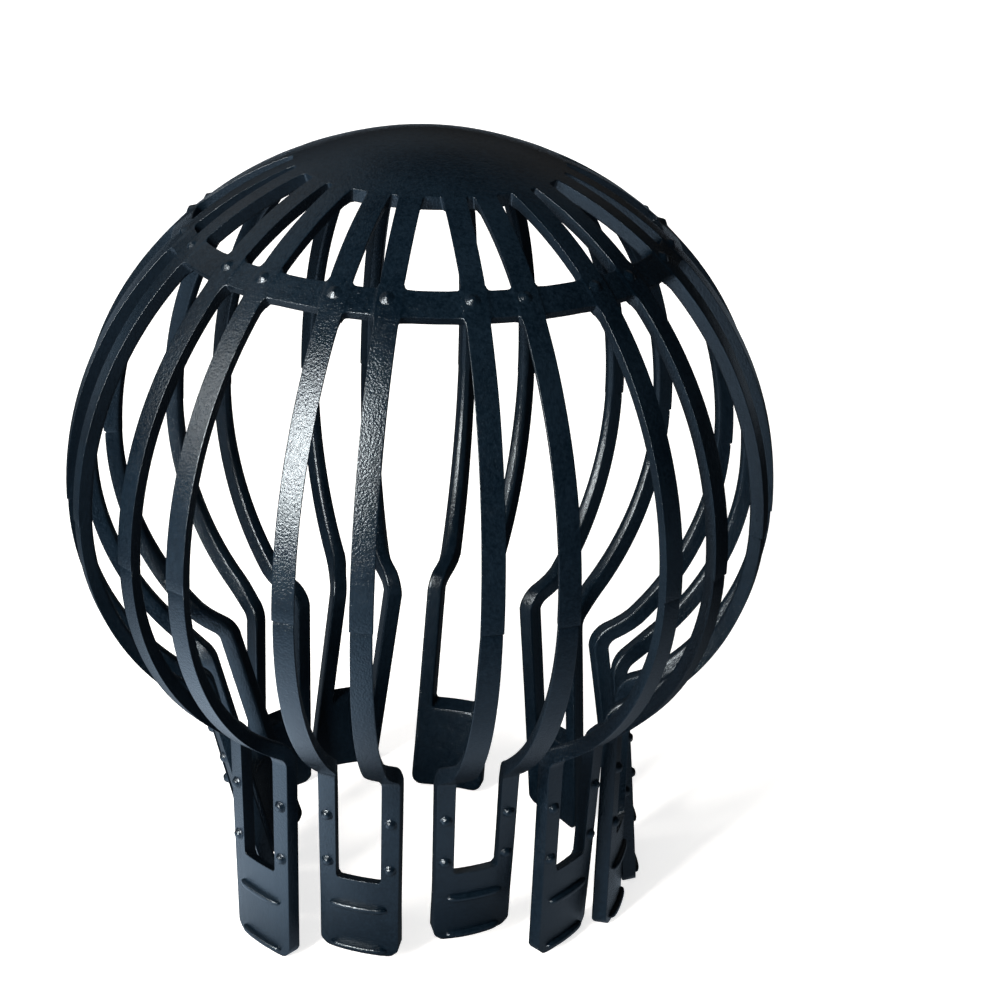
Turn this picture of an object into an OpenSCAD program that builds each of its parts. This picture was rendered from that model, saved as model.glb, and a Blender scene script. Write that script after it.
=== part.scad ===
// Balloon leaf filter for the mouth of a downpipe, moulded in one piece.
// Origin at the middle of the circle that the feet stand on, +Z up.

/* [Overall] */
// Width across the cage
cage_d = 124.5; // [110:0.5:140]
// Height from the foot ends to the top of the crown
height = 144.8; // [138:0.1:152]
// Length of the feet, from their ends up to the neck
foot_len = 43.2; // [40:0.1:48]
// Depth of the ribs and wall of the feet
wall = 2.8; // [2:0.1:3.4]

/* [Ribs] */
// Number of feet, with two ribs to each
feet = 12; // [10:1:12]
// Width of a rib across its outer face
rib_w = 3.8; // [3:0.1:4.4]
// Narrowing of a rib from its outer face to its inner face
rib_draft = 1; // [0:0.1:1.6]
// Angle from the middle of a foot to each of its ribs
rib_angle = 5.75; // [5:0.05:6.5]
// Step in the ribs at the parting line
parting_step = 0.2; // [0.1:0.05:0.4]

/* [Crown and hoop] */
// Diameter of the closed crown
crown_d = 46; // [40:1:56]
// Height of the crown's faces above and below the ribs
crown_proud = 0.3; // [0.2:0.05:0.6]
// Latitude of the hoop on the cage
hoop_angle = 48; // [40:1:52]
// Width of the hoop
hoop_w = 4.8; // [3.5:0.1:6.5]
// Depth of the hoop's faces below the faces of the ribs
hoop_set = 0.2; // [0.15:0.05:0.8]

/* [Feet] */
// Outer radius of the feet at their ends
foot_r = 36.2; // [34:0.1:38]
// Outer radius of the feet where they meet the ribs
neck_r = 40; // [38.5:0.1:42]
// Radius of the hollow bend at the neck
bend_r = 2.4; // [1.5:0.1:4]
// Height over which the ribs step out to the legs
neck_rise = 3.4; // [2:0.1:5]
// Width of a foot
foot_w = 14.6; // [12:0.1:15.5]
// Width of each leg beside the window
leg_w = 3.2; // [2.6:0.1:4]
// Height of the plate below the window
plate_h = 18.5; // [14:0.5:24]
// Radius of the lower corners of the plate
corner_r = 2.2; // [1:0.1:4]
// How far each foot has sprung outward, in degrees, from the front right foot round
foot_set = [-13, 0, 6, 10, 3, -3, 13, 8, -11, -9, 1, -8];
// How far each foot leans along the round, in degrees, counted the same way
foot_skew = [6, 5, -2, -10, -8, 1, 4, -3, -2, 2, -3, -3];

/* [Grips] */
// Diameter of the pips at their tops
pip_d = 1.6; // [1:0.1:2.2]
// Height of the pips
pip_h = 0.8; // [0.5:0.1:1.2]
// How much the root of a pip stands out all round
pip_flare = 0.5; // [0.1:0.1:0.8]
// Heights of the two rows of pips
pip_heights = [33.2, 22];
// Heights of the two bars on a plate
bar_heights = [11.4, 1];
// Length of the bars
bar_len = 10.6; // [6:0.2:11.5]
// Width of the bars
bar_w = 1; // [0.6:0.1:1.6]
// Height of the bars
bar_h = 0.9; // [0.5:0.1:1.2]

/* [Hidden] */
$fn = 40;

cage_r = cage_d / 2;
equator_z = height - cage_r - crown_proud;
pitch = 360 / feet;

// Depth to which parts run into each other, and angle by which arcs do
lap = 0.8;
lap_angle = 2;

// Half of the angle over which a foot's wall is turned before it is cut to shape
wall_half = 30;
// Height below the floor to which that wall is turned
overrun = 4;

// The leg's outer line leans in by this angle towards its foot end
taper = atan((neck_r - foot_r) / foot_len);

// Arc of the ribs below the equator, upright at the equator and ending at the neck
drop = equator_z - foot_len;
low_r = ((cage_r - neck_r) ^ 2 + drop ^ 2) / (2 * (cage_r - neck_r));
low_c = [cage_r - low_r, equator_z];

// Centre of the bend, at its radius outside both the lower arc and the leg line
bend_line = [foot_r, 0] + bend_r * out_of(taper) - low_c;
bend_half = bend_line * along(taper);
bend_s = -bend_half - sqrt(bend_half ^ 2 - bend_line * bend_line + (low_r + bend_r) ^ 2);
bend_c = low_c + bend_line + bend_s * along(taper);
bend_top = atan2((low_c - bend_c)[1], (low_c - bend_c)[0]);
low_end = bend_top - 180;

// Where the ribs hand over to the neck
neck_top = bend_c[1] + neck_rise;
neck_angle = asin((neck_top - equator_z) / low_r);
rib_y = (low_c[0] + low_r * cos(neck_angle)) * sin(rib_angle);
leg_y = (foot_w - leg_w) / 2;
crown_edge = acos(crown_d / cage_d);

// Directions up a leg and square out of it, in side view, for a leg that leans in
function along(lean) = [sin(lean), cos(lean)];
function out_of(lean) = [cos(lean), -sin(lean)];

function on_arc(centre, r, a) = centre + r * [cos(a), sin(a)];

// Side view position on the outer face of a sprung foot, from its height on a straight one
function on_foot(z, set) =
    let(lean = taper - set, top = bend_c[1] + bend_r * sin(taper))
    bend_c - bend_r * out_of(lean) - (top - z) / cos(taper) * along(lean);

// One face of the wall of a foot, at a depth below its outer face
function foot_line(set, depth) =
    let(low = 180 - taper + set, start = neck_angle + lap_angle)
    concat(
        [for (k = [3:-1:0]) on_arc(low_c, low_r - depth, low_end + k / 3 * (start - low_end))],
        [for (k = [1:4]) on_arc(bend_c, bend_r + depth, bend_top + k / 4 * (low - bend_top))],
        [on_foot(-overrun, set) - depth * out_of(taper - set)]
    );

function reversed(list) = [for (i = [len(list) - 1:-1:0]) list[i]];

// Height at which the legs of a foot leave the bend, and how far it has slid aside at a height
function leg_top(set) = on_foot(bend_c[1], set)[1];
function slide(z, set, skew) = max(0, leg_top(set) - z) * tan(skew);

// Front view of one leg and half of the plate, from the window's sill round to the end
function half_foot(set) =
    let(
        inner = leg_y - leg_w / 2,
        outer = leg_y + leg_w / 2,
        turn = leg_top(set),
        sill = on_foot(plate_h, set)[1],
        end = max(0, on_foot(0, set)[1])
    )
    concat(
        [
            [inner, sill],
            [inner, turn],
            [rib_y - rib_w / 2, neck_top],
            [rib_y + rib_w / 2, neck_top],
            [outer, turn]
        ],
        [for (a = [0:22.5:90]) on_arc([outer - corner_r, end + corner_r], corner_r, -a)]
    );

// Tapered bar bent round an arc in the plane of a rib
module arc_bar(centre, r_out, inset, a0, a1) {
    width = rib_w - 2 * inset;
    inner = width - rib_draft;
    translate([centre[0], 0, centre[1]])
        rotate([90, 0, 0])
            rotate([0, 0, a0])
                rotate_extrude(angle = a1 - a0)
                    polygon([
                        [r_out - inset, -width / 2],
                        [r_out - inset, width / 2],
                        [r_out - wall + inset, inner / 2],
                        [r_out - wall + inset, -inner / 2]
                    ]);
}

// Rib from under the crown down to the neck, stepped in a little below the equator
module rib() {
    arc_bar([0, equator_z], cage_r, 0, 0, crown_edge + lap_angle);
    arc_bar(low_c, low_r, parting_step, asin((neck_top - lap - equator_z) / low_r), lap_angle / 2);
}

module crown() {
    translate([0, 0, equator_z])
        rotate_extrude()
            intersection() {
                difference() {
                    circle(cage_r + crown_proud);
                    circle(cage_r - wall - crown_proud);
                }
                square([crown_d / 2, 2 * cage_r]);
            }
}

module hoop() {
    half = hoop_w / 2 / cage_r * 180 / PI;
    outer = cage_r - hoop_set;
    inner = cage_r - wall + hoop_set;
    translate([0, 0, equator_z])
        rotate_extrude()
            intersection() {
                difference() {
                    circle(outer);
                    circle(inner);
                }
                polygon([
                    [0, 0],
                    2 * cage_r * [cos(hoop_angle - half), sin(hoop_angle - half)],
                    2 * cage_r * [cos(hoop_angle + half), sin(hoop_angle + half)]
                ]);
            }
}

// Curved wall from the neck to the foot end, cut to the front view of a foot
module foot_wall(set, skew) {
    half = half_foot(set);
    front = concat(half, [for (p = reversed(half)) [-p[0], p[1]]]);
    intersection() {
        rotate([0, 0, -wall_half])
            rotate_extrude(angle = 2 * wall_half)
                polygon(concat(foot_line(set, 0), reversed(foot_line(set, wall))));
        translate([neck_r / 3, 0, 0])
            rotate([90, 0, 90])
                linear_extrude(neck_r)
                    polygon([for (p = front) [p[0] + slide(p[1], set, skew), p[1]]]);
    }
}

module grip_bar(place, aside) {
    span = 2 * asin(bar_len / 2 / place[0]);
    rotate([0, 0, asin(aside / place[0]) - span / 2])
        rotate_extrude(angle = span)
            translate(place - [lap, 0])
                square([lap + bar_h, bar_w]);
}

module pip(place, aside) {
    rotate([0, 0, asin(aside / place[0])])
        translate([place[0] - lap, 0, place[1]])
            rotate([0, 90, 0])
                cylinder(h = lap + pip_h, d1 = pip_d + 2 * pip_flare, d2 = pip_d, $fn = 13);
}

module foot(set, skew) {
    foot_wall(set, skew);
    for (z = bar_heights)
        let(place = on_foot(z, set))
            grip_bar(place, slide(place[1], set, skew));
    for (z = pip_heights, side = [-1, 1])
        let(place = on_foot(z, set))
            pip(place, side * leg_y + slide(place[1], set, skew));
}

module leaf_guard() {
    color([0.05, 0.06, 0.06])
        union() {
            crown();
            hoop();
            for (i = [0:feet - 1])
                rotate([0, 0, (i + 0.5) * pitch - 90]) {
                    for (side = [-1, 1])
                        rotate([0, 0, side * rib_angle])
                            rib();
                    foot(foot_set[i], foot_skew[i]);
                }
        }
}

leaf_guard();
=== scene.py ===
import bpy
import math
import numpy as np
from mathutils import Matrix


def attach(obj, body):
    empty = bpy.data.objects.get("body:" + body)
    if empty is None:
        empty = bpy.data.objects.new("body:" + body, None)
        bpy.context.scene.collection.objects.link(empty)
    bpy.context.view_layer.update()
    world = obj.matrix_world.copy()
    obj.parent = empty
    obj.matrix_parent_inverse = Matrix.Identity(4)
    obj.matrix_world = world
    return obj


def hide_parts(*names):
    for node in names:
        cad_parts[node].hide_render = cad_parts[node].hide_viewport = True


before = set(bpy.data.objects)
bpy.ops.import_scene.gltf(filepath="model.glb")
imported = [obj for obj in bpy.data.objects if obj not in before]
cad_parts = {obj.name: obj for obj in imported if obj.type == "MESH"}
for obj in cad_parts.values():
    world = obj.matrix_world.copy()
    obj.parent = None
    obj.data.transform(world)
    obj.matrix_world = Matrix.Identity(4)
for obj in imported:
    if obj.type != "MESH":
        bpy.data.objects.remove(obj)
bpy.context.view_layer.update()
print("frame loaded")

deg = math.pi / 180
mm = 0.001
nudge = 1e-6   # slack where places are compared
tiny = 1e-9    # keeps a quotient from 0 over 0

# The moulding's sizes are in millimetres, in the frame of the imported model
cage = dict(
    radius=62.25,      # outer faces of the ribs
    equator=82.25,     # height of the parting line
    wall=2.8,          # depth of ribs and feet
    neck=40.0,         # radius where the ribs meet the feet
    footEnd=36.2,      # radius of the foot ends
    footLong=43.2,
    bend=2.4,          # hollow bend at the neck
    neckRise=3.4,      # height over which the ribs step out to the legs
    early=3.0,         # they set out this far before that
    ease=0.4,          # share of a soft start and end in it
    ribAngles=([23, 42, 62], [6.5, 5.9, 5.75]),   # at distances from the pole: degrees from a foot's middle
    ribWidths=([23, 98, 140], [3.85, 3.8, 4.15]),
    draft=0.7,         # narrowing of each side of a rib towards its inner face
    legDraft=0.12,     # and of each side of a leg
    edges=(0.09, 0.45),  # rounding of the outer and inner edges
    arch=0.4,          # rise of a rib's inner face between its edges
    archStart=1.5,     # it begins over this distance below the crown
    step=0.2,          # the lower half stands in by this much at the parting line,
    stepAside=0.12,    # and by this much on each side of a rib
    groove=0.25,       # depth of the fine line below it
    grooveAt=0.2,
    grooveWide=0.15,
    crown=23.0,        # radius at the tops of the windows
    crownRise=0.3,
    crownFlat=6.0,     # the rise begins to fade this far from the pole
    crownLevel=2.0,    # and is gone this far above the windows
    hoopAt=48.0,       # latitude of the hoop
    hoopWide=4.8,
    hoopSet=0.18,
    hoopSoft=(0.5, 0.6),  # it sinks over these distances, down the wall and beside a rib
    swell=0.08,        # of a rib where it crosses the hoop
    swellOver=2.0,
)

# Rounded corners of the openings and of the plate
corners = dict(
    hoop=0.9,          # fillets along the hoop, the sill and the crown
    sill=0.54,
    crown=0.35,
    fade=4.0,          # distance down or up the wall over which a corner's pull fades
    reach=1.3,         # and across the rib beside it
    sillSlope=1.5,     # fall of a window's sill from its outer to its inner edge
    plate=2.2,         # radius of the plate's lower corners
    plateFade=14.0,
)

foot = dict(
    leg=3.2,
    wide=14.6,
    plate=18.5,
    sprung=[-13, 0, 6, 10, 3, -3, 13, 8, -11, -9, 1, -8],  # degrees outward, from the front right round
    skewed=[6, 5, -2, -10, -8, 1, 4, -3, -2, 2, -3, -3],   # degrees along the round
)
feet = len(foot["sprung"])
sprung = np.array(foot["sprung"], float)
skewed = np.array(foot["skewed"], float)
legMid = (foot["wide"] - foot["leg"]) / 2

# Stretches of the wall by the mark each starts at: how many plain rows it gets, and whether the
# wall is cut across at its start and at its end
stretches = dict(
    pole=(10, False, True),
    crownEdge=(11, False, False),
    hoopTop=(3, True, True),
    hoopLow=(24, False, False),
    parting=(24, False, False),
    bendTop=(7, False, False),
    bendLow=(12, False, False),
    sill=(8, True, True),
)
closedWindow = ("pole", "hoopTop", "sill")  # stretches with wall between the two ribs of a foot
closedGap = ("pole", "hoopTop")             # and with wall between two feet

# How closely rows and columns of the wall's grid stand
grid = dict(
    pole=0.9,                 # from the pole to the first row
    cut=(0, 0.0336, 0.1176, 0.28),  # rows along a cut
    cutGap=1.0,               # from a cut to the first plain row
    parting=(-0.04, 0.04, 0.2, 0.4),  # rows about the parting line
    beside=0.5,               # from a rib to the next column in an opening,
    besideShare=(0.4, 0.3),   # with these shares of half a window and half a gap as its limits
    window=(0, 0.4, 0.75, 1),  # further columns, as shares of what is left there
    gap=(0, 0.35, 0.7),
    innerEdge=(0, 0.42, 1),   # columns over a rib's rounded edges, as shares of the rounding
    outerEdge=(0.7, 0.294, 0),
    outerPlain=(1.05, 0.15),  # columns before them: from the outer edge, and from its rounding
    leastRadius=0.3,
)


# Smooth step: 3t² - 2t³, held at 0 and 1 beyond its ends
def smooth(t):
    t = np.clip(t, 0, 1)
    return t * t * (3 - 2 * t)


# Outer line of a rib in side view: an arc about the cage's centre, a smaller arc from the
# equator to the neck, a hollow bend that touches it, and the straight leg. Places on it are
# distances down it from the pole
def outerLine():
    c = cage
    taper = math.atan((c["neck"] - c["footEnd"]) / c["footLong"])
    drop = c["equator"] - c["footLong"]
    inset = c["radius"] - c["neck"]
    low = (inset ** 2 + drop ** 2) / (2 * inset)
    lowC = np.array([c["radius"] - low, c["equator"]])
    along = np.array([math.sin(taper), math.cos(taper)])
    outOf = np.array([math.cos(taper), -math.sin(taper)])
    rest = np.array([c["footEnd"], 0]) + c["bend"] * outOf - lowC
    half = rest @ along
    slide = -half - math.sqrt(half ** 2 - rest @ rest + (low + c["bend"]) ** 2)
    bendC = lowC + rest + slide * along
    top = math.atan2(lowC[1] - bendC[1], lowC[0] - bendC[0])
    made = dict(taper=taper, low=low, lowC=lowC, bendC=bendC, top=top)
    made["crownAt"] = c["radius"] * math.asin(c["crown"] / c["radius"])
    made["hoopAt"] = c["radius"] * (90 - c["hoopAt"]) * deg
    made["equatorAt"] = c["radius"] * math.pi / 2
    made["bendAt"] = made["equatorAt"] + low * (math.pi - top)
    sink = c["equator"] - bendC[1] - c["neckRise"]
    made["neckAt"] = made["equatorAt"] + low * math.asin(sink / low)
    made["legLong"] = (bendC[1] + c["bend"] * math.sin(taper)) / math.cos(taper)
    return made


line = outerLine()


# End of the bend: its arc is as long as the turn to a leg that has sprung by so many degrees
def bendEnd(out):
    turn = math.pi - line["taper"] + np.asarray(out, float) * deg - line["top"]
    return line["bendAt"] + cage["bend"] * turn


# Place on the outer line of the point that is at height z on a straight foot
def onLeg(z, out):
    return bendEnd(out) + line["legLong"] - z / math.cos(line["taper"])


# Radius, height and outward normal at distance s down the outer line: on each arc they follow
# from the angle, and on the leg from the distance below the bend
def onLine(s, out):
    s, out = np.broadcast_arrays(np.asarray(s, float), np.asarray(out, float))
    c = cage
    lean = line["taper"] - out * deg
    dome = s < line["equatorAt"]
    a = np.where(dome, math.pi / 2 - s / c["radius"], (line["equatorAt"] - s) / line["low"])
    arc = np.where(dome, c["radius"], line["low"])
    r = np.where(dome, 0, line["lowC"][0]) + arc * np.cos(a)
    z = c["equator"] + arc * np.sin(a)
    nr, nz = np.cos(a), np.sin(a)
    b = line["top"] + (s - line["bendAt"]) / c["bend"]
    bent = s > line["bendAt"]
    r = np.where(bent, line["bendC"][0] + c["bend"] * np.cos(b), r)
    z = np.where(bent, line["bendC"][1] + c["bend"] * np.sin(b), z)
    nr, nz = np.where(bent, -np.cos(b), nr), np.where(bent, -np.sin(b), nz)
    t = s - bendEnd(out)
    straight = t > 0
    r = np.where(straight, line["bendC"][0] - c["bend"] * np.cos(lean) - t * np.sin(lean), r)
    z = np.where(straight, line["bendC"][1] + c["bend"] * np.sin(lean) - t * np.cos(lean), z)
    nr, nz = np.where(straight, np.cos(lean), nr), np.where(straight, -np.sin(lean), nz)
    return r, z, nr, nz


# How far a foot has slid along the round at height z: the height below its bend times the
# tangent of its lean
def slideAt(z, index):
    lean = line["taper"] - sprung[index] * deg
    top = line["bendC"][1] + cage["bend"] * np.sin(lean)
    top = top - cage["bend"] * math.sin(line["taper"]) * np.cos(lean) / math.cos(line["taper"])
    return np.maximum(top - z, 0) * np.tan(skewed[index] * deg)


# Marks down the outer line, one place for each foot. A foot ends where its line meets the floor
def wallMarks():
    every = np.ones(feet)
    halfHoop = cage["hoopWide"] / 2
    end = onLeg(0, sprung)
    sunk = np.minimum(onLine(end, sprung)[1], 0)
    return dict(
        pole=grid["pole"] * every,
        crownEdge=line["crownAt"] * every,
        hoopTop=(line["hoopAt"] - halfHoop) * every,
        hoopLow=(line["hoopAt"] + halfHoop) * every,
        parting=line["equatorAt"] * every,
        bendTop=line["bendAt"] * every,
        bendLow=bendEnd(sprung),
        sill=onLeg(foot["plate"], sprung),
        end=end + sunk / np.cos(line["taper"] - sprung * deg),
    )


marks = wallMarks()


# Rows of the wall for each foot, and the stretch each belongs to: evenly spaced from mark to
# mark, with finer rows along the cuts and about the parting line
def wallRows():
    cut = np.array(grid["cut"])
    about = grid["parting"]
    rows, ground = [], []
    for (name, plan), following in zip(stretches.items(), list(marks)[1:]):
        count, cutBefore, cutAfter = plan
        start, end = marks[name][None, :], marks[following][None, :]
        head = cut[:, None] + start if cutBefore else start
        tail = end - cut[:0:-1, None] if cutAfter else end[:0]
        top = grid["cutGap"] * cutBefore + start
        bottom = end - grid["cutGap"] * cutAfter
        t = np.linspace(0, 1, count + 1)[(0 if cutBefore else 1):(count + 1 if cutAfter else -1), None]
        part = np.concatenate([head, top + (bottom - top) * t, tail])
        if following == "parting":
            part = np.concatenate([part, end + about[0]])
        if name == "parting":
            part = np.concatenate([start + d for d in about[1:]] + [part[1:]])
        rows.append(part)
        ground.append(np.full(len(part), name))
    rows.append(marks["end"][None, :])
    ground.append(np.array(["end"]))
    return np.concatenate(rows), np.concatenate(ground)


# How far the ribs have turned into legs: 0 above the neck, 1 from the end of the bend
def legShare(s0):
    start = line["neckAt"] - cage["early"]
    t = np.clip((s0 - start) / (bendEnd(sprung) - start), 0, 1)
    return (1 - cage["ease"]) * t + cage["ease"] * smooth(t)


# Share of the parting line's step: 1 just below that line, fading to 0 at the neck
def belowParting(s0):
    t = (s0 - line["equatorAt"]) / (line["neckAt"] - line["equatorAt"])
    return (s0 > line["equatorAt"]) * (1 - smooth(t))


# Distances of each row from the nearest cut across a window, across a gap and at the foot end
def fromCuts(s0):
    inHoop = np.minimum(s0 - marks["hoopTop"], marks["hoopLow"] - s0)
    toCrown = marks["crownEdge"] - s0
    inPlate = np.maximum(s0 - marks["sill"], 0)
    window = np.where(toCrown > 0, toCrown, np.where(inHoop > 0, inHoop, inPlate))[..., None]
    gap = np.where(toCrown > 0, toCrown, np.where(inHoop > 0, inHoop, 0))[..., None]
    return dict(inHoop=inHoop, window=window, gap=gap, end=(marks["end"] - s0)[..., None])


# Columns of half a foot on one face, as angles about the axis from its middle. They cross the
# window, then the rib or leg with finer ones over its edges, then the gap. An angle is the arcsine of
# the distance aside over the radius. Above the windows all rows have the first open row's angles
def columnPlaces(s0, inner):
    c, g = cage, grid
    share = legShare(s0)
    r, _, nr, _ = onLine(s0, sprung)
    r = np.maximum(r - inner * c["wall"] * nr, g["leastRadius"])
    draft = inner * (c["draft"] * (1 - share) + c["legDraft"] * share)
    ribMid = r * np.sin(np.interp(s0, *c["ribAngles"]) * deg)
    halfRib = np.interp(s0, *c["ribWidths"]) / 2 - draft - c["stepAside"] * belowParting(s0)
    halfLeg = foot["leg"] / 2
    yIn = (ribMid - halfRib) * (1 - share) + (legMid - halfLeg + draft) * share
    yOut = (ribMid + halfRib) * (1 - share) + (legMid + halfLeg - draft) * share

    near = np.minimum(g["beside"], g["besideShare"][0] * np.maximum(yIn, 0))
    edge = c["edges"][inner]
    y = [(yIn - near) * t for t in g["window"]] + [yIn - near / 2]
    first = len(y)
    y += [yIn + edge * t for t in g["innerEdge"]]
    y += [(yIn + yOut) / 2, yOut - g["outerPlain"][0], yOut - edge - g["outerPlain"][1]]
    y += [yOut - edge * t for t in g["outerEdge"]]
    last = len(y) - 1

    r = r[..., None]
    angle = np.arcsin(np.clip(np.stack(y, -1) / r, -1, 1))
    ribEnd = angle[..., -1:]
    rest = math.pi / feet - ribEnd
    near = np.minimum(g["beside"] / r, g["besideShare"][1] * rest)
    inGap = [ribEnd + near / 2] + [ribEnd + near + (rest - near) * t for t in g["gap"]] + [ribEnd + rest]
    angle = np.concatenate([angle] + inGap, -1)
    firstOpen = int(np.argmax(s0[:, 0] >= line["crownAt"] - nudge))
    angle[:firstOpen] = angle[firstOpen]

    column = np.arange(angle.shape[-1])
    at = dict(angle=angle, window=column < first, gap=column > last)
    at["rib"] = ~(at["window"] | at["gap"])
    at["toRibEnd"] = (angle[..., last:last + 1] - angle) * r
    at["fromIn"] = np.abs(angle[..., first:first + 1] - angle) * r
    at["fromOut"] = np.abs(at["toRibEnd"])
    at["fromRib"] = np.where(at["window"], at["fromIn"], np.where(at["gap"], at["fromOut"], 0))
    return at


# Rows pulled along the wall. Beside a rib a pull is the height of a quarter circle in the corner
# of the opening, and it fades out across the rib. The sill falls towards its inner edge, and the
# plate's lower corners are quarter circles as well
def pulledRows(s0, inner, at, cuts):
    k = corners
    bySill = at["fromIn"] < at["fromOut"]
    within = np.clip(1 - np.minimum(at["fromIn"], at["fromOut"]) / k["reach"], 0, 1)

    def cove(size):
        curve = size * (1 - np.sqrt(np.clip(1 - np.clip(1 - at["fromRib"] / size, 0, 1) ** 2, 0, 1)))
        return np.where(at["rib"], size * within ** 2, curve)

    s = s0[..., None]
    s = s + cove(k["crown"]) * smooth(1 - (line["crownAt"] - s) / k["fade"]) * (s <= line["crownAt"] + nudge)
    hoopPull = np.clip((s0 - line["hoopAt"]) / (cage["hoopWide"] / 2), -1, 1) * (cuts["inHoop"] > -nudge)
    s = s + cove(k["hoop"]) * hoopPull[..., None]
    fromSill = (s0 - marks["sill"])[..., None]
    inPlate = fromSill >= -nudge
    sillPull = inPlate * smooth(1 - fromSill / k["fade"])
    s = s - cove(k["sill"]) * sillPull * (at["window"] | (at["rib"] & bySill))
    s = s + inner * k["sillSlope"] * sillPull * np.where(at["window"], 1, at["rib"] * bySill * within)
    fromSide = np.where(at["gap"], 0, at["toRibEnd"])
    inCorner = np.clip(k["plate"] - fromSide, 0, k["plate"])
    lift = k["plate"] - np.sqrt(np.clip(k["plate"] ** 2 - inCorner ** 2, 0, None))
    return s - lift * inPlate * smooth(1 - cuts["end"] / k["plateFade"])


# How far a face stands above the plain wall: the crown's rise, less the sunken hoop, less the hollow
# beside an arched inner face, plus the swell on the hoop, less the step and the groove of the
# parting line. Near an edge it drops away as a quarter circle
def faceLevel(s0, inner, at, cuts):
    c = cage
    crownPart = (s0 - c["crownFlat"]) / (line["crownAt"] - c["crownFlat"] - c["crownLevel"])
    level = c["crownRise"] * (1 - smooth(crownPart))[..., None] * np.ones(at["angle"].shape[-1])
    hoopHere = smooth(cuts["inHoop"] / c["hoopSoft"][0] + 1)[..., None]
    level = level - c["hoopSet"] * hoopHere * smooth(at["fromRib"] / c["hoopSoft"][1])
    uneven = (at["fromIn"] - at["fromOut"]) / (at["fromIn"] + at["fromOut"] + tiny)
    bulge = np.clip(1 - uneven ** 2, 0, 1)
    if inner:
        free = smooth((s0 - line["crownAt"]) / c["archStart"]) * (1 - legShare(s0))
        level = level - c["arch"] * (1 - bulge) * at["rib"] * (1 - hoopHere) * free[..., None]
    else:
        crest = np.exp(-((s0 - line["hoopAt"]) / c["swellOver"]) ** 2)[..., None]
        level = level + c["swell"] * crest * bulge * at["rib"]
        groove = c["groove"] * np.exp(-((s0 - line["equatorAt"] - c["grooveAt"]) / c["grooveWide"]) ** 2)
        level = level - (c["step"] * belowParting(s0) + groove)[..., None]

    fromWindow = np.hypot(at["fromIn"], cuts["window"])
    fromGap = np.hypot(at["fromOut"], cuts["gap"])
    fromEdge = np.where(at["gap"], cuts["gap"], np.minimum(fromWindow, fromGap))
    fromEdge = np.where(at["window"], cuts["window"], fromEdge)
    e = c["edges"][inner]
    inside = e - np.clip(np.minimum(fromEdge, cuts["end"]), 0, e)
    return level - (e - np.sqrt(np.clip(e ** 2 - inside ** 2, 0, None)))


# Points of one face of the wall, rows down from the pole and columns round the axis. A point
# moves out from the outer line along its normal, and is turned to the angle of its column,
# or on a leaning foot to the arcsine of its distance aside plus the slide over its radius
def wallFace(s0, inner):
    at = columnPlaces(s0, inner)
    cuts = fromCuts(s0)
    level = faceLevel(s0, inner, at, cuts)
    r, z, nr, nz = onLine(pulledRows(s0, inner, at, cuts), sprung[None, :, None])
    out = (-level if inner else level) - inner * cage["wall"]
    radius, height = r + out * nr, np.maximum(z + out * nz, 0)
    # A foot's columns run from the one after its left gap to the middle of its right gap
    k = at["angle"].shape[-1]
    order = np.concatenate([np.arange(k - 2, 0, -1), np.arange(k)])
    turn = np.concatenate([-np.ones(k - 2), np.ones(k)])
    middle = (np.arange(feet) + 0.5) * 2 * math.pi / feet - math.pi / 2
    radius, height = radius[..., order], height[..., order]
    straight = turn * at["angle"][..., order]
    slid = slideAt(height, np.arange(feet)[None, :, None])
    leant = np.arcsin(np.clip((radius * np.sin(straight) + slid) / radius, -1, 1))
    full = middle[None, :, None] + np.where(slid == 0, straight, leant)
    xyz = np.stack([radius * np.cos(full), radius * np.sin(full), height], -1)
    return xyz.reshape(len(s0), -1, 3), at


# Which cells of the wall are closed. Cell m lies between column m - 1 and column m of the round
def closedCells(ground, at):
    kind = np.where(at["window"], 0, np.where(at["rib"], 1, 2))
    half = np.where(kind[:-1] == 0, 0, kind[1:])
    cells = np.tile(np.concatenate([half[::-1], half]), feet)[None, :]
    window = np.isin(ground[:-1], closedWindow)[:, None]
    gap = np.isin(ground[:-1], closedGap)[:, None]
    return np.where(cells == 0, window, (cells == 1) | gap)


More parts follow.
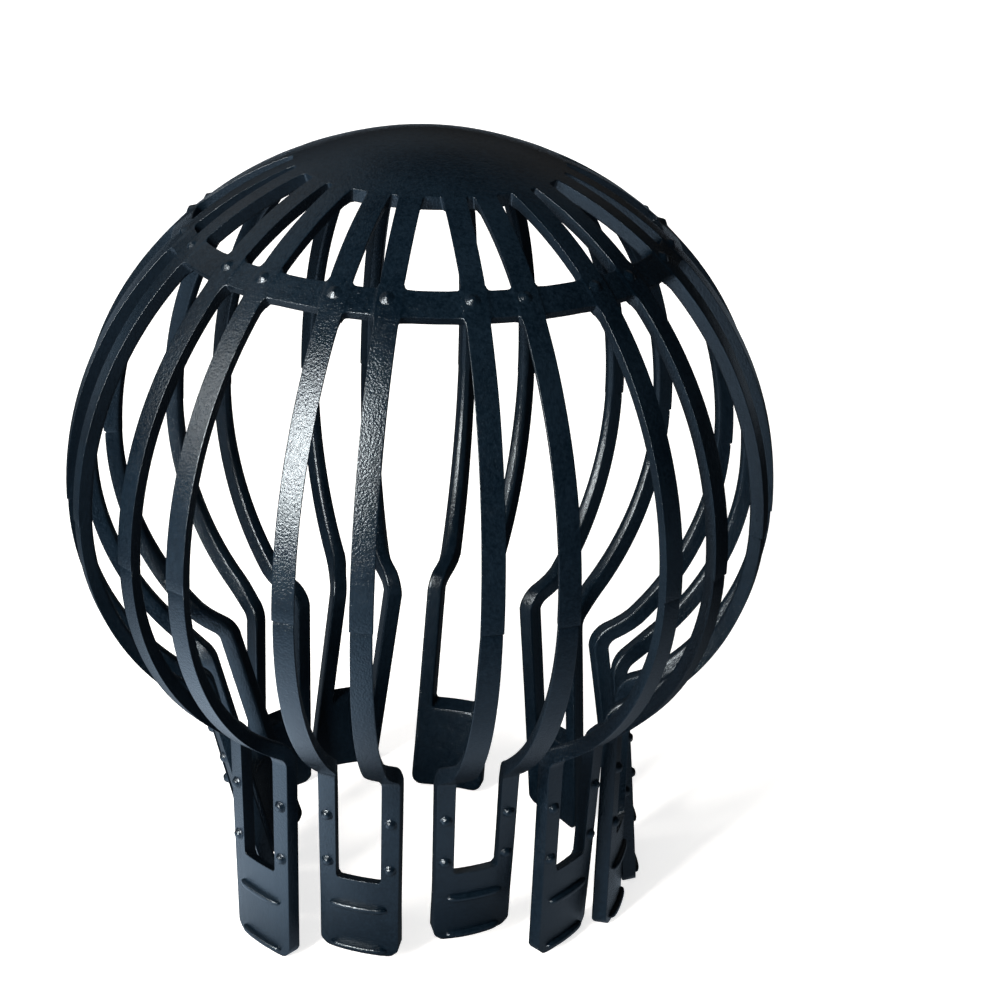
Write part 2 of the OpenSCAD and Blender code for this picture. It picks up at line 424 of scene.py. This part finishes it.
# The whole wall: two faces on one grid, without the open cells, and a side wall from face to
# face wherever a closed cell meets an open one. A point at the pole closes each face
def wallMesh():
    c = cage
    s0, ground = wallRows()
    outside, at = wallFace(s0, 0)
    inside, _ = wallFace(s0, 1)
    solid = closedCells(ground, at)
    count, around = outside.shape[:2]
    ids = np.arange(count * around).reshape(count, around)
    other = ids + count * around
    left, right = np.roll(ids, 1, 1), ids
    leftIn, rightIn = np.roll(other, 1, 1), other

    def quads(where, *corner):
        return np.stack([ring[where] for ring in corner], -1)

    openRow = np.zeros((1, around), bool)
    rightEdge = solid & ~np.roll(solid, -1, 1)
    leftEdge = solid & ~np.roll(solid, 1, 1)
    lowEdge = solid & ~np.concatenate([solid[1:], openRow])
    topEdge = solid & ~np.concatenate([~openRow, solid[:-1]])
    faces = np.concatenate([
        quads(solid, left[:-1], left[1:], right[1:], right[:-1]),
        quads(solid, leftIn[:-1], rightIn[:-1], rightIn[1:], leftIn[1:]),
        quads(rightEdge, right[:-1], right[1:], rightIn[1:], rightIn[:-1]),
        quads(leftEdge, left[1:], left[:-1], leftIn[:-1], leftIn[1:]),
        quads(lowEdge, left[1:], leftIn[1:], rightIn[1:], right[1:]),
        quads(topEdge, right[:-1], rightIn[:-1], leftIn[:-1], left[:-1]),
    ])
    topOut = c["equator"] + c["radius"] + c["crownRise"]
    topIn = c["equator"] + c["radius"] - c["wall"] - c["crownRise"]
    points = np.concatenate([outside.reshape(-1, 3), inside.reshape(-1, 3), [[0, 0, topOut], [0, 0, topIn]]])
    tip = np.full(around, len(points) - 2)
    caps = [np.stack([tip, left[0], right[0]], -1), np.stack([tip + 1, rightIn[0], leftIn[0]], -1)]
    return points, faces, np.concatenate(caps)


# Closed shells, one for each row of rings: rings are joined in turn, and a point closes each end
def shells(rings, first, last):
    many, count, around = rings.shape[:3]
    base = (np.arange(many) * (count * around + 2))[:, None, None]
    ids = base + np.arange(count * around).reshape(count, around)[None]
    nextOne = np.roll(ids, -1, 2)
    quads = np.stack([ids[:, :-1], nextOne[:, :-1], nextOne[:, 1:], ids[:, 1:]], -1).reshape(-1, 4)
    tip = np.broadcast_to(base[:, :, 0] + count * around, (many, around))
    caps = [np.stack([tip, nextOne[:, 0], ids[:, 0]], -1),
            np.stack([tip + 1, ids[:, -1], nextOne[:, -1]], -1)]
    points = np.concatenate([rings.reshape(many, -1, 3), first[:, None], last[:, None]], 1).reshape(-1, 3)
    return points, quads, np.concatenate(caps).reshape(-1, 3)


# Place and axes (out, across, up) on the wall's outer face, at distance s down the line and y
# aside of the middle of a foot, moved by the foot's slide
def onFoot(s, y, index):
    r, z, nr, nz = onLine(s, sprung[index])
    y = y + slideAt(z, index)
    a = (index + 0.5) * 2 * math.pi / feet - math.pi / 2 + np.arcsin(y / r)
    place = np.stack([r * np.cos(a), r * np.sin(a), z], -1)
    out = np.stack([nr * np.cos(a), nr * np.sin(a), nz], -1)
    across = np.stack([-np.sin(a), np.cos(a), 0 * a], -1)
    return place, out, across, np.cross(out, across)


# All feet against the given lists, each as one long array
def overFeet(*lists):
    return [v.ravel() for v in np.meshgrid(np.arange(feet), *lists, indexing="ij")]


dome = dict(
    rings=(0.32, 0.62, 0.82, 0.92),   # radii as shares of the whole one
    fall=0.92,                        # share of the height lost at the rim
    flare=((1.05, 1.3), (0.0785, -0.109)),   # radii and heights of the flared root
    sides=14, sunk=0.6,
)
pip = dict(wide=2.0, high=0.8, at=[33.2, 22.0], flatness=4)
stud = dict(wide=2.2, high=0.6, aside=-0.35, down=-0.6, flatness=1.3)
bar = dict(
    at=[11.9, 1.5], long=10.6, wide=1.25, high=0.9, sunk=0.6,
    ends=6,              # power by which the section shrinks: the higher, the blunter the ends
    least=0.0004,        # square of the share left at the tips
    round=(0.7, 0.6),    # powers of its outline, where 1 is an ellipse and 0 a square
    rings=25, sides=12,
)


# Domes turned about the normal. The height falls with a power of the radius, so that a flatness
# of 1 makes a cone and 4 a round-topped drum
def domeShells(place, out, across, up, k):
    inner = np.array(dome["rings"])
    share = np.concatenate([inner, dome["flare"][0]])
    rise = k["high"] * np.concatenate([1 - dome["fall"] * inner ** k["flatness"], dome["flare"][1]])
    radius = k["wide"] / 2 * share
    a = np.linspace(0, 2 * math.pi, dome["sides"] + 1)[:-1]
    ring = (place[:, None, None] + out[:, None, None] * rise[None, :, None, None]
            + across[:, None, None] * (radius[:, None] * np.cos(a))[None, ..., None]
            + up[:, None, None] * (radius[:, None] * np.sin(a))[None, ..., None])
    return shells(ring, place + out * k["high"], place - out * dome["sunk"])


# Four pips on the legs of each foot
def pipShells():
    index, z, y = overFeet(pip["at"], [-legMid, legMid])
    return domeShells(*onFoot(onLeg(z, sprung[index]), y, index), pip)


# A low stud stands where each rib crosses the hoop
def studShells():
    index, side = overFeet([-1, 1])
    s = line["hoopAt"] + stud["down"]
    y = side * onLine(s, 0)[0] * np.sin(np.interp(s, *cage["ribAngles"]) * deg) + stud["aside"]
    return domeShells(*onFoot(np.full(len(index), s), y, index), stud)


# Bars are half-round lengths bent round the foot. A ring's outline is a rounded square, from
# powers of sine and cosine, and it shrinks at both ends as the root of 1 less a power of the place
def barShells():
    index, z = overFeet(bar["at"])
    mid = onLeg(z, sprung[index])
    t = np.sin(np.linspace(-1, 1, bar["rings"]) * math.pi / 2)
    a = np.linspace(0, 2 * math.pi, bar["sides"] + 1)[:-1]
    full = np.sqrt(np.clip(1 - np.abs(t) ** bar["ends"], bar["least"], 1))
    down = np.sign(np.sin(a)) * np.abs(np.sin(a)) ** bar["round"][0] * bar["wide"] / 2
    above = np.abs(np.cos(a)) ** bar["round"][1] * bar["high"]
    high = np.where(np.cos(a) > 0, above, np.cos(a) * bar["sunk"])
    s = mid[:, None, None] - down[None, None, :] * full[None, :, None]
    y = np.broadcast_to((t * bar["long"] / 2)[None, :, None], s.shape)
    place, out, _, _ = onFoot(s, y, np.broadcast_to(index[:, None, None], s.shape))
    ring = place + out * (high[None, None, :] * full[None, :, None])[..., None]
    return shells(ring[:, ::-1], ring[:, -1].mean(1), ring[:, 0].mean(1))


# Several meshes as one: the corner numbers of each go on from the points before it
def joined(*made):
    points, quads, caps, start = [], [], [], 0
    for p, q, t in made:
        points.append(p)
        quads.append(q + start)
        caps.append(t + start)
        start += len(p)
    return np.concatenate(points), np.concatenate(quads), np.concatenate(caps)


# Mesh in metres from points in millimetres, quads and triangles. Points that no face uses are left out
def meshObject(name, points, quads, caps):
    used = np.zeros(len(points), bool)
    used[quads.ravel()] = True
    used[caps.ravel()] = True
    fresh = np.cumsum(used) - 1
    points, quads, caps = points[used] * mm, fresh[quads], fresh[caps]
    mesh = bpy.data.meshes.new(name)
    mesh.vertices.add(len(points))
    mesh.vertices.foreach_set("co", points.astype(np.float32).ravel())
    loops = np.concatenate([quads.ravel(), caps.ravel()]).astype(np.int32)
    sizes = np.concatenate([np.full(len(quads), 4), np.full(len(caps), 3)])
    starts = np.concatenate([[0], np.cumsum(sizes)[:-1]]).astype(np.int32)
    mesh.loops.add(len(loops))
    mesh.loops.foreach_set("vertex_index", loops)
    mesh.polygons.add(len(sizes))
    mesh.polygons.foreach_set("loop_start", starts)
    mesh.polygons.foreach_set("use_smooth", np.ones(len(sizes), bool))
    mesh.update(calc_edges=True)
    mesh.validate()
    made = bpy.data.objects.new(name, mesh)
    bpy.context.scene.collection.objects.link(made)
    return made


moulding = meshObject("cage_moulding", *joined(wallMesh(), pipShells(), barShells(), studShells()))
shading = moulding.modifiers.new("even shading", "WEIGHTED_NORMAL")
shading.weight = 60   # large faces count a little more than small ones
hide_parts("leaf_guard")
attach(moulding, "root")
print("moulding made:", len(moulding.data.polygons), "faces")


# One shader node: sockets take a number, a colour or another node's output
def shaderNode(tree, kind, sockets, **settings):
    made = tree.nodes.new("ShaderNode" + kind)
    for name, value in settings.items():
        setattr(made, name, value)
    for socket, value in sockets.items():
        if isinstance(value, bpy.types.NodeSocket):
            tree.links.new(value, made.inputs[socket])
        else:
            made.inputs[socket].default_value = value
    return made.outputs


# A value from one range moved to another: start and end of it, then low and high of the result
def ranged(tree, value, limits, **settings):
    sockets = dict(zip(("From Min", "From Max", "To Min", "To Max"), limits), Value=value)
    return shaderNode(tree, "MapRange", sockets, **settings)["Result"]


# Noises are scale, detail and roughness
plastic = dict(
    deep=(0.0009, 0.0032, 0.0064, 1),   # base colours, mixed in soft clouds and fine specks
    dusty=(0.0037, 0.0084, 0.0144, 1),
    clouds=(55, 3, 0.5),
    specks=(1500, 2, 0.7),
    mixed=(0.8, 1.2, 0, 1),
    ior=1.5,
    gloss=(0.78, 0.9, 1.0, 1),
    patches=(420, 4, 0.65),             # duller and glossier patches
    rough=(0.3, 0.7, 0.13, 0.24),
    grain=(2900, 3, 0.5), grainDepth=(0.9, 0.0001),    # strength and height in metres
    mottle=(620, 2, 0.5), mottleDepth=(0.04, 0.00025),
)


# Black plastic: two dark colours mixed by noise, uneven roughness, and two sizes of grain as bumps
def plasticMaterial():
    p = plastic
    made = bpy.data.materials.new("black moulded plastic")
    made.use_nodes = True
    tree = made.node_tree
    shader = tree.nodes["Principled BSDF"]
    shader.inputs["IOR"].default_value = p["ior"]
    shader.inputs["Specular Tint"].default_value = p["gloss"]
    place = shaderNode(tree, "TexCoord", {})["Object"]

    def noise(values):
        sockets = dict(zip(("Scale", "Detail", "Roughness"), values), Vector=place)
        return shaderNode(tree, "TexNoise", sockets)["Fac"]

    both = shaderNode(tree, "Math", {0: noise(p["clouds"]), 1: noise(p["specks"])}, operation="ADD")[0]
    mixing = dict(A=p["deep"], B=p["dusty"], Factor=ranged(tree, both, p["mixed"]))
    colour = shaderNode(tree, "Mix", mixing, data_type="RGBA")["Result"]
    rough = ranged(tree, noise(p["patches"]), p["rough"])
    grain = dict(zip(("Strength", "Distance"), p["grainDepth"]), Height=noise(p["grain"]))
    mottle = dict(zip(("Strength", "Distance"), p["mottleDepth"]), Height=noise(p["mottle"]))
    mottle["Normal"] = shaderNode(tree, "Bump", grain)["Normal"]
    tree.links.new(colour, shader.inputs["Base Color"])
    tree.links.new(rough, shader.inputs["Roughness"])
    tree.links.new(shaderNode(tree, "Bump", mottle)["Normal"], shader.inputs["Normal"])
    return made


moulding.data.materials.append(plasticMaterial())
print("material made")

# Angles in degrees and places in millimetres; focal length and offsets in pixels of the frame
shot = dict(
    tilt=23.502, roll=2.432, turn=3.573, aim=78.0,
    across=14.033, up=-2.37, away=382.13,
    frame=1001, focal=2131.8, offX=-0.88, offY=13.76, sensor=36,
    nearest=0.01,   # that it sees, in metres
)


# The camera looks level along +Y, is raised by the tilt about the aim point, and slides in its own plane
def placeCamera():
    v = shot
    e, roll, turn = v["tilt"] * deg, v["roll"] * deg, -v["turn"] * deg
    spin = np.array([[math.cos(turn), -math.sin(turn), 0], [math.sin(turn), math.cos(turn), 0], [0, 0, 1]])
    x = spin @ np.array([1, 0, 0])
    y = spin @ np.array([0, math.sin(e), math.cos(e)])
    back = spin @ np.array([0, -math.cos(e), math.sin(e)])
    right = math.cos(roll) * x + math.sin(roll) * y
    over = -math.sin(roll) * x + math.cos(roll) * y
    place = np.array([0, 0, v["aim"]]) + v["across"] * right + v["up"] * over + v["away"] * back
    data = bpy.data.cameras.new("camera")
    data.sensor_width = v["sensor"]
    data.lens = v["sensor"] * v["focal"] / v["frame"]
    data.shift_x = -v["offX"] / v["frame"]
    data.shift_y = v["offY"] / v["frame"]
    data.clip_start = v["nearest"]
    made = bpy.data.objects.new("camera", data)
    setAxes(made, right, over, back, place * mm)
    bpy.context.scene.camera = made


# Puts an object in the scene with the given axes and place, in metres
def setAxes(made, x, y, z, place):
    matrix = np.eye(4)
    matrix[:3, 0], matrix[:3, 1], matrix[:3, 2], matrix[:3, 3] = x, y, z, place
    made.matrix_world = Matrix([list(row) for row in matrix])
    bpy.context.scene.collection.objects.link(made)


placeCamera()
print("camera placed")

# The room is in metres. Each range is two distances and the strengths at them
room = dict(
    floor=(0.8, 0.8, 0.8, 1), half=2.0, drop=0.0001,   # just under the feet, so that no faces meet
    seen=(0.25, 0.8, 0.72, 1.0),        # glow of the floor that the camera sees, by distance
    tint=(0.68, 0.83, 1.0, 1),
    fromSide=(-0.07, 0.0, 2.5, 0.45),   # light that the object gets from the floor: most at the left,
    fromFront=(-0.05, 0.04, 1.0, 0.1),  # fading towards the back,
    fromNear=(0.06, 0.24, 1.0, 0.25),   # and away from the object,
    underIt=(0.025, 0.045, 0.15, 1.0),  # with its own shade in the ring of feet,
    farBehind=(0.3, 0.55, 0.0, 0.22),   # and a little more far behind it
    ambient=0.18, dark=0.01,
    lamp=(1, 0.94, 0.87), lampMid=0.08,   # colour of the panels, and the height they face
)


# Pale floor: the camera sees a plain matt surface with a glow of its own, and the object gets
# light that is the product of soft ranges across, along and away, plus one far behind
def makeFloor():
    mesh = bpy.data.meshes.new("floor")
    h, z = room["half"], -room["drop"]
    mesh.from_pydata([(-h, -h, z), (h, -h, z), (h, h, z), (-h, h, z)], [], [(0, 1, 2, 3)])
    made = bpy.data.objects.new("floor", mesh)
    bpy.context.scene.collection.objects.link(made)
    look = bpy.data.materials.new("pale floor")
    look.use_nodes = True
    tree = look.node_tree
    tree.nodes.clear()
    coords = shaderNode(tree, "TexCoord", {})["Object"]
    away = shaderNode(tree, "VectorMath", {0: coords}, operation="LENGTH")["Value"]
    parts = shaderNode(tree, "SeparateXYZ", {0: coords})

    def soft(value, name):
        return ranged(tree, value, room[name], interpolation_type="SMOOTHSTEP")

    def combine(operation, a, b):
        return shaderNode(tree, "Math", {0: a, 1: b}, operation=operation)[0]

    given = combine("MULTIPLY", soft(parts["X"], "fromSide"), soft(parts["Y"], "fromFront"))
    given = combine("MULTIPLY", given, soft(away, "fromNear"))
    given = combine("MULTIPLY", given, soft(away, "underIt"))
    given = combine("ADD", given, soft(parts["Y"], "farBehind"))
    plain = shaderNode(tree, "BsdfDiffuse", {"Color": room["floor"]})[0]
    glow = shaderNode(tree, "Emission", {"Color": (1, 1, 1, 1), "Strength": soft(away, "seen")})[0]
    shown = shaderNode(tree, "AddShader", {0: plain, 1: glow})[0]
    light = shaderNode(tree, "Emission", {"Color": room["tint"], "Strength": given})[0]
    byCamera = shaderNode(tree, "LightPath", {})["Is Camera Ray"]
    mix = shaderNode(tree, "MixShader", {0: byCamera, 1: light, 2: shown})[0]
    shaderNode(tree, "OutputMaterial", {"Surface": mix})
    mesh.materials.append(look)


# White to the camera, dim to the object, and darker still in its gloss
def makeWorld():
    world = bpy.data.worlds.new("soft room")
    bpy.context.scene.world = world
    world.use_nodes = True
    tree = world.node_tree
    tree.nodes.clear()
    paths = shaderNode(tree, "LightPath", {})

    def shade(strength):
        return shaderNode(tree, "Background", {"Color": (1, 1, 1, 1), "Strength": strength})[0]

    gloss = {0: paths["Is Glossy Ray"], 1: shade(room["ambient"]), 2: shade(room["dark"])}
    shown = {0: paths["Is Camera Ray"], 1: shaderNode(tree, "MixShader", gloss)[0], 2: shade(1.0)}
    shaderNode(tree, "OutputWorld", {"Surface": shaderNode(tree, "MixShader", shown)[0]})


# Soft panels by bearing from the front (positive to the right), height angle, distance, size and glow
panels = dict(
    window=(-41, 23, 0.9, 0.19, 0.58, 58),
    side=(-81, 24, 0.9, 0.16, 0.42, 8),
    wall=(-50, 28, 1.0, 1.45, 0.62, 1.5),
    leftBack=(-125, 38, 1.0, 1.0, 0.7, 0.25),
    back=(180, 26, 1.1, 1.2, 0.6, 0.06),
)


# A panel faces the middle of the object, and its power is its glow times its area times pi
def softPanel(name, bearing, height, away, wide, tall, glow):
    a, e = bearing * deg, height * deg
    z = np.array([math.sin(a) * math.cos(e), -math.cos(a) * math.cos(e), math.sin(e)])
    x = np.cross([0, 0, 1.0], z)
    x = x / np.linalg.norm(x)
    data = bpy.data.lights.new(name, "AREA")
    data.shape = "RECTANGLE"
    data.size, data.size_y, data.energy = wide, tall, glow * wide * tall * math.pi
    data.color = room["lamp"]
    place = np.array([0, 0, room["lampMid"]]) + away * z
    setAxes(bpy.data.objects.new(name, data), x, np.cross(z, x), z, place)


makeFloor()
makeWorld()
for name, values in panels.items():
    softPanel(name, *values)
bpy.context.scene.view_settings.view_transform = "Standard"
print("room lit")
